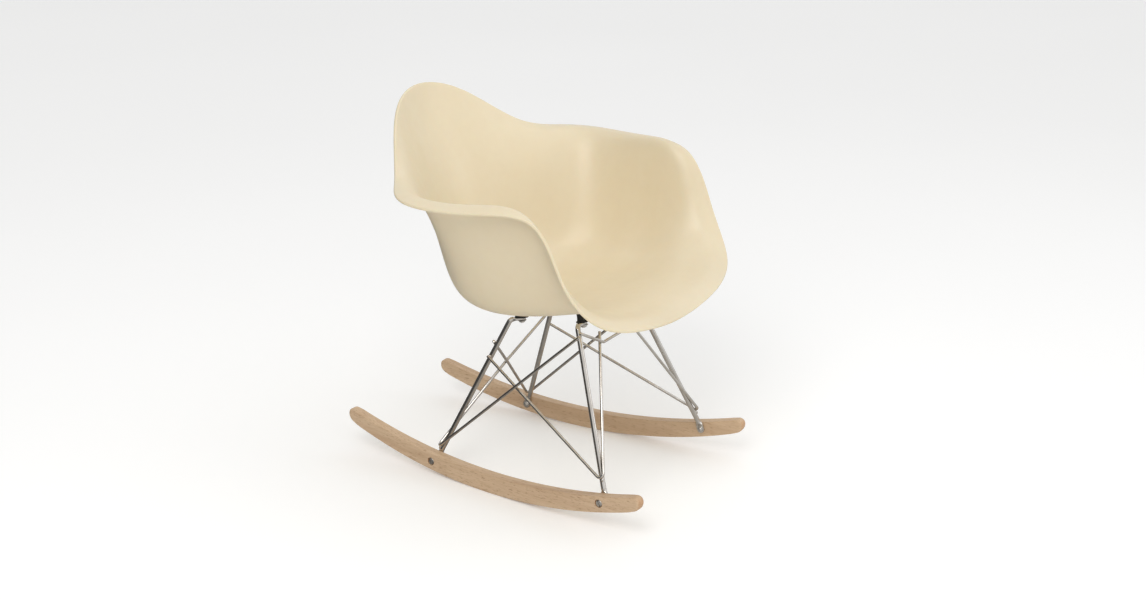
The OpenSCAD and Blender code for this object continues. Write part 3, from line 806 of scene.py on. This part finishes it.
def round_ends(path, radius, ease=0.7):
    """Adds short eased ends to a round bar and returns its path and sections."""
    start, stop = unit(path[1] - path[0]), unit(path[-2] - path[-1])
    turns = np.linspace(0, math.pi / 2, 4)[:-1]
    lead = [path[0] + ease * (1 - math.cos(a)) * start for a in turns]
    tail = [path[-1] + ease * (1 - math.cos(a)) * stop for a in turns]
    sizes = [radius - ease * (1 - math.sin(a)) for a in turns]
    body = path.copy()
    body[0] += ease * start
    body[-1] += ease * stop
    whole = np.vstack([lead, body, tail[::-1]])
    radii = sizes + [radius] * len(body) + sizes[::-1]
    return whole, [(r, r, ROUND) for r in radii]


# The points and directions below are for the sitter's left legs.

def foot_dir(end):
    """Direction in which the flattened foot leads out from its mount."""
    return square_to(MOUNTS[end][1], FOOT_DIR[end])


def foot_mid(end):
    base, up = MOUNTS[end]
    return base - (FOOT_T / 2 + GAP) * up


def leg_top(end):
    return foot_mid(end) + FOOT_REACH * foot_dir(end)


def above_eye(end, reach):
    """A point on the rod's middle line, continued down to the eye's height for a reach of 0."""
    lean = EYE_LEAN[end]
    return from_rocker((-ROCKER_T - ROD_R - ROD_STAND, BOLT_Y[end] + reach * math.sin(lean),
                        bolt_z(end) + reach * math.cos(lean)))


def leg_foot(end):
    return above_eye(end, EYE_REACH)


def leg_dir(end):
    return unit(leg_top(end) - leg_foot(end))


def on_leg(end, z):
    """The point on the leg's middle line at a height."""
    a, b = leg_foot(end), leg_top(end)
    return a + (z - a[2]) / (b[2] - a[2]) * (b - a)


def flat_end_sections(distances, width, thick, flat_to, round_from):
    """Sections from a strip's round end, over its flat part, to the round rod."""
    sections = []
    for d in distances:
        half = width / 2
        if d < half:
            half = math.sqrt(max(0.0, (width / 2) ** 2 - (half - d) ** 2))
        t = np.clip((d - flat_to) / (round_from - flat_to), 0, 1)
        t = t * t * (3 - 2 * t)
        half_w, half_t = half + (ROD_R - half) * t, thick / 2 + (ROD_R - thick / 2) * t
        sections.append((max(0.25, half_w), half_t, SQUARE + (ROUND - SQUARE) * t))
    return sections


def make_leg(end, side, sign):
    """A rod with a flattened, bored foot at its top and a flattened, bored eye at its bottom."""
    mid, lead, up = foot_mid(end), foot_dir(end), MOUNTS[end][1]
    eye = from_rocker((-ROCKER_T - EYE_T / 2 - GAP, BOLT_Y[end], bolt_z(end)))
    eye_way = unit(above_eye(end, EYE_REACH) - above_eye(end, 0))
    through = rocker_inwards()
    start = mid - FOOT_W / 2 * lead
    # The rod's middle line stands a little further off the rocker than the flat eye's.
    drop = above_eye(end, EYE_DROP)
    flat_top = eye + EYE_FLAT * eye_way
    bends = bent_path([start, leg_top(end), leg_foot(end), drop], [ROD_BEND, EYE_BEND], 3.0)
    # The two round ends have points of their own, closer together.
    foot_round = [start + FOOT_W * 0.5 * (1 - math.cos(t)) * lead
                  for t in np.linspace(0, math.pi / 2, 8)[:-1]]
    rod = [p for p in bends
           if (p - start) @ lead > FOOT_W * 0.5 - 0.1 or np.linalg.norm(p - start) > 30]
    eye_top = [flat_top + (drop - flat_top) * t for t in (0.75, 0.5, 0.25)]
    eye_top += [flat_top, flat_top + (eye - flat_top) * 0.5]
    eye_round = [eye - EYE_W / 2 * math.sin(t) * eye_way for t in np.linspace(0, math.pi / 2, 8)]
    path = np.array(foot_round + rod + eye_top + eye_round)
    lengths = lengths_along(path)
    from_foot = flat_end_sections(lengths, FOOT_W, FOOT_T, *FOOT_ROUNDING)
    from_eye = flat_end_sections(lengths[-1] - lengths, EYE_W, EYE_T, *EYE_ROUNDING)
    sections = [a if d < lengths[-1] / 2 else b for a, b, d in zip(from_foot, from_eye, lengths)]
    flip = np.array([sign, 1, 1])
    leg = tube(f"leg_{end}_{side}_rod", path * flip, sections, np.cross(up, lead) * flip,
               np.cross(through, eye_way) * flip, steps=36)
    bores = [lathe("bore", [(0, -BORE_REACH), (r, -BORE_REACH), (r, BORE_REACH), (0, BORE_REACH)],
                   at * flip, way * flip, CHROME, steps=32)
             for r, at, way in ((SCREW_BORE_R, mid, up), (BOLT_BORE_R, eye, through))]
    cut(leg, bores, BAR_FLAT_OVER)
    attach(leg, "root")
    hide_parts(f"leg_{end}_{side}")


for leg_end in ENDS:
    for leg_side, leg_sign in SIDES:
        make_leg(leg_end, leg_side, leg_sign)

# Distances between middle lines where a wire is welded to a leg or to another wire
ON_ROD = ROD_R + WIRE_R + 2 * GAP
ON_WIRE = 2 * WIRE_R + 2 * GAP
# A brace's bent vertex cuts the corner, so the corner stands off the leg by this much more.
VERTEX_SLACK = 1.8
# Heights above the ground at which the wires meet the legs
FRONT_VERTEX_Z, REAR_VERTEX_Z = 77.0, 41.0
LONG_BRACE_TOP_Z, SPREADER_TOP_Z = 312.0, 318.0
CROSS_WELD_Z, REAR_WELD_Z = 257.0, 232.0
# How far a wire's end stands past its weld
CROSS_TAIL, SHORT_TAIL, LONG_BRACE_TAIL = 5.0, 2.0, 5.0
SPREADER_TAIL, SPREADER_END_TAIL = 20.0, 4.0
SPREADER_CORNER = np.array([53.5, -176.0, 292.0])
CORNER_TO_WELD = 4.0
OUTWARD, FORWARD = np.array([1.0, 0, 0]), np.array([0, -1.0, 0])
# Weld beads: half width, half thickness, surface waviness, and length along a leg, at a vertex and
# between two wires
BEAD_HALF_W, BEAD_HALF_T, BEAD_WAVE = 2.6, 2.3, 0.10
LEG_BEAD, VERTEX_BEAD, WIRE_BEAD = 9.0, 8.0, 6.5
# How far a vertex's bead sits along the leg from the vertex, and inside the wire's corner
REAR_BEAD_UP, REAR_BEAD_IN, FRONT_BEAD_UP, FRONT_BEAD_IN = 5, 7, 6, 8


def past(start, weld, extra):
    """A wire's end point, past the point at which it is welded."""
    return weld + extra * unit(weld - start)


def beside(a, b, out):
    """Sideways direction in which one bar passes another, on the side that faces out."""
    n = unit(np.cross(a, b))
    return n if n @ out > 0 else -n


def between(way, m, n, distance):
    """A point at a distance from the planes square to m and n through 0, and square to way."""
    return distance * (np.cross(n, way) + np.cross(way, m)) / (m @ np.cross(n, way))


def bead(a, b, way, seed, length):
    """A weld bead between two middle points, drawn out along a way."""
    rng = np.random.default_rng(RNG_SEED + seed)
    axes = basis(way, b - a)
    rings, steps = 9, 14
    points = []
    for i in range(rings + 1):
        polar = math.pi * i / rings
        radius = math.sin(polar)
        for j in range(steps):
            turn = 2 * math.pi * j / steps
            wave = 1 + BEAD_WAVE * rng.standard_normal() * (0 < i < rings)
            local = np.array([BEAD_HALF_W * radius * math.cos(turn) * wave,
                              BEAD_HALF_T * radius * math.sin(turn) * wave,
                              -length / 2 * math.cos(polar)])
            points.append(local @ axes + (a + b) / 2)
    obj = add_mesh("bead", points, ring_faces(rings + 1, steps), CHROME)
    # The first and the last ring shrink to a point.
    work = bmesh.new()
    work.from_mesh(obj.data)
    bmesh.ops.remove_doubles(work, verts=work.verts, dist=1e-6)
    work.to_mesh(obj.data)
    work.free()
    return obj


def finish_wire(node, corners, bends, sign, beads):
    """A wire with its weld beads, on either side of the chair."""
    flip = np.array([sign, 1, 1])
    path, sections = round_ends(bent_path([c * flip for c in corners], bends, 8.0), WIRE_R)
    first = (0, 0, 1) if abs(unit(path[1] - path[0])[2]) < 0.9 else (1, 0, 0)
    wire = tube(f"{node}_wire", path, sections, first)
    join(wire, [bead(a * flip, b * flip, way * flip, len(node) * 10 + k, length)
                for k, (a, b, way, length) in enumerate(beads)])
    smooth(wire, BAR_FLAT_OVER)
    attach(wire, "root")
    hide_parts(node)


def rear_brace(side, sign):
    """From a weld on the front leg, round a vertex at the rear leg, across to the other rear leg."""
    near, top = on_leg("rear", REAR_VERTEX_Z), on_leg("front", LONG_BRACE_TOP_Z)
    far, far_dir = mirrored(on_leg("rear", CROSS_WELD_Z)), mirrored(leg_dir("rear"))
    rear_dir, front_dir = leg_dir("rear"), leg_dir("front")
    vertex = near + between(rear_dir, beside(rear_dir, top - near, OUTWARD),
                            beside(rear_dir, far - near, -FORWARD), ON_ROD + VERTEX_SLACK)
    long_weld = top + ON_ROD * beside(front_dir, top - vertex, OUTWARD)
    cross_weld = far + ON_ROD * beside(far_dir, far - vertex, -FORWARD)
    cross_dir = cross_weld - vertex
    across = vertex + vertex[0] / (vertex[0] - cross_weld[0]) * cross_dir
    over = sign * (WIRE_R + 2 * GAP) * beside(cross_dir, OUTWARD, FORWARD)
    low = near + REAR_BEAD_UP * rear_dir
    wire_low = vertex + REAR_BEAD_IN * unit(unit(long_weld - vertex) + unit(cross_weld - vertex))
    finish_wire(f"brace_rear_{side}",
                [past(vertex, long_weld, LONG_BRACE_TAIL), vertex, across + over,
                 past(across + over, cross_weld, CROSS_TAIL)], [WIRE_BEND, CROSSING_BEND], sign,
                [(top, long_weld, front_dir, LEG_BEAD), (far, cross_weld, far_dir, LEG_BEAD),
                 (low, wire_low, rear_dir, VERTEX_BEAD)])


def front_brace(side, sign):
    """From a weld on the rear leg, round a vertex at the front leg, up behind the spreader."""
    near, far = on_leg("front", FRONT_VERTEX_Z), on_leg("rear", REAR_WELD_Z)
    front_dir, rear_dir = leg_dir("front"), leg_dir("rear")
    spreader_dir = unit(on_leg("front", SPREADER_TOP_Z) - SPREADER_CORNER)
    crossing = SPREADER_CORNER + CORNER_TO_WELD * spreader_dir
    corner = crossing + ON_WIRE * beside(spreader_dir, crossing - near, -FORWARD)
    vertex = near + between(front_dir, beside(front_dir, far - near, OUTWARD),
                            beside(front_dir, corner - near, FORWARD), ON_ROD + VERTEX_SLACK)
    weld = far + ON_ROD * beside(rear_dir, far - vertex, OUTWARD)
    low = near + FRONT_BEAD_UP * front_dir
    wire_low = vertex + FRONT_BEAD_IN * unit(unit(weld - vertex) + unit(corner - vertex))
    finish_wire(f"brace_front_{side}",
                [past(vertex, weld, SHORT_TAIL), vertex, past(vertex, corner, SPREADER_TAIL)],
                [WIRE_BEND], sign,
                [(far, weld, rear_dir, LEG_BEAD), (crossing, corner, corner - vertex, WIRE_BEAD),
                 (low, wire_low, front_dir, VERTEX_BEAD)])


def front_spreader():
    """The wire that joins the front legs' tops, with a low straight run between two corners."""
    top, way = on_leg("front", SPREADER_TOP_Z), leg_dir("front")
    weld = top + ON_ROD * beside(way, SPREADER_CORNER - top, FORWARD)
    tip = past(SPREADER_CORNER, weld, SPREADER_END_TAIL)
    finish_wire("front_spreader", [mirrored(tip), mirrored(SPREADER_CORNER), SPREADER_CORNER, tip],
                [WIRE_BEND, WIRE_BEND], 1,
                [(top, weld, way, LEG_BEAD),
                 (mirrored(top), mirrored(weld), mirrored(way), LEG_BEAD)])


for wire_side, wire_sign in SIDES:
    rear_brace(wire_side, wire_sign)
    front_brace(wire_side, wire_sign)
front_spreader()


# ---- CAD nodes that stay ----

for name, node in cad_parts.items():
    if name.startswith("mount_insert"):
        node.data.materials.clear()
        node.data.materials.append(STEEL)


# ---- Floor, room and light, in metres ----

FLOOR_WHITE = (0.93, 0.93, 0.925)
FLOOR_HALF = 30.0


def floor_material():
    """A pale matt floor. Reflections show a dark card in its place, for contrast in the chrome."""
    m = Nodes("studio_white")
    mottle = m.noise(m.coords, 0.7, 2.0, 0.5)
    m.link(m.ramp(mottle, [(0.3, tuple(0.985 * c for c in FLOOR_WHITE)), (0.7, FLOOR_WHITE)]),
           m.shader.inputs["Base Color"])
    m.set(Roughness=0.75, Specular_IOR_Level=0.2, Emission_Color=(1, 1, 1, 1),
          Emission_Strength=0.12)
    # In reflections the floor falls from pale to dark towards the sitter's right and the rear.
    card = m.tree.nodes.new("ShaderNodeBsdfDiffuse")
    pale_side = m.tree.nodes.new("ShaderNodeVectorMath")
    pale_side.operation = "DOT_PRODUCT"
    pale_side.inputs[1].default_value = (0.53, -0.848, 0)
    m.link(m.coords, pale_side.inputs[0])
    fall = m.span(pale_side.outputs["Value"], 0.0, 1.0, -0.85, 0.50)
    m.link(m.ramp(fall, [(0.0, (0.05, 0.05, 0.05)), (0.40, (0.20, 0.195, 0.19)),
                         (0.75, (0.58, 0.57, 0.55))]), card.inputs["Color"])
    rays = m.tree.nodes.new("ShaderNodeLightPath")
    choice = m.tree.nodes.new("ShaderNodeMixShader")
    m.link(rays.outputs["Is Glossy Ray"], choice.inputs[0])
    m.link(m.shader.outputs["BSDF"], choice.inputs[1])
    m.link(card.outputs["BSDF"], choice.inputs[2])
    m.link(choice.outputs["Shader"], m.tree.nodes["Material Output"].inputs["Surface"])
    return m.material


def make_floor():
    mesh = bpy.data.meshes.new("floor")
    corners = [(FLOOR_HALF * x, FLOOR_HALF * y, 0) for x, y in ((-1, -1), (1, -1), (1, 1), (-1, 1))]
    mesh.from_pydata(corners, [], [(0, 1, 2, 3)])
    mesh.materials.append(floor_material())
    floor = bpy.data.objects.new("floor", mesh)
    SCENE.collection.objects.link(floor)


def area_light(name, place, aim, size, power, color=(1, 1, 1)):
    """A rectangular light of a size and a power in watts, turned to face its aim."""
    data = bpy.data.lights.new(name, "AREA")
    data.shape = "RECTANGLE"
    data.size, data.size_y = size
    data.energy = power
    data.color = color
    light = bpy.data.objects.new(name, data)
    light.location = place
    light.rotation_euler = (Vector(aim) - Vector(place)).to_track_quat("-Z", "Y").to_euler()
    SCENE.collection.objects.link(light)


def make_world():
    """A white room with one dark side for the chrome to mirror. The camera sees a plain pale grey."""
    world = bpy.data.worlds.new("studio")
    SCENE.world = world
    world.use_nodes = True
    tree = world.node_tree
    room = tree.nodes["Background"]
    coords = tree.nodes.new("ShaderNodeTexCoord")
    dark_side = tree.nodes.new("ShaderNodeVectorMath")
    dark_side.operation = "DOT_PRODUCT"
    dark_side.inputs[1].default_value = (-0.53, 0.80, -0.28)
    ramp = tree.nodes.new("ShaderNodeValToRGB")
    stops = ((0.0, 1.0), (0.30, 0.95), (0.50, 0.20), (0.95, 0.08))
    while len(ramp.color_ramp.elements) < len(stops):
        ramp.color_ramp.elements.new(0.5)
    for element, (place, value) in zip(ramp.color_ramp.elements, stops):
        element.position = place
        element.color = (value, value, value, 1)
    plain = tree.nodes.new("ShaderNodeBackground")
    rays = tree.nodes.new("ShaderNodeLightPath")
    choice = tree.nodes.new("ShaderNodeMixShader")
    tree.links.new(coords.outputs["Generated"], dark_side.inputs[0])
    tree.links.new(dark_side.outputs["Value"], ramp.inputs["Fac"])
    tree.links.new(ramp.outputs["Color"], room.inputs["Color"])
    tree.links.new(rays.outputs["Is Camera Ray"], choice.inputs[0])
    tree.links.new(room.outputs["Background"], choice.inputs[1])
    tree.links.new(plain.outputs["Background"], choice.inputs[2])
    tree.links.new(choice.outputs["Shader"], tree.nodes["World Output"].inputs["Surface"])
    room.inputs["Strength"].default_value = 0.86
    plain.inputs["Color"].default_value = (0.84, 0.84, 0.84, 1)


def make_light():
    area_light("key", (-2.3, -0.7, 2.7), (0, 0, 0.4), (1.8, 1.8), 34, (1.0, 0.985, 0.96))
    area_light("top", (0.2, -0.9, 3.0), (0, 0, 0.4), (2.0, 2.0), 6)
    area_light("front", (1.6, -2.6, 1.2), (0, 0, 0.5), (0.8, 1.5), 5)


make_world()
make_floor()
make_light()
SCENE.view_settings.view_transform = "Standard"
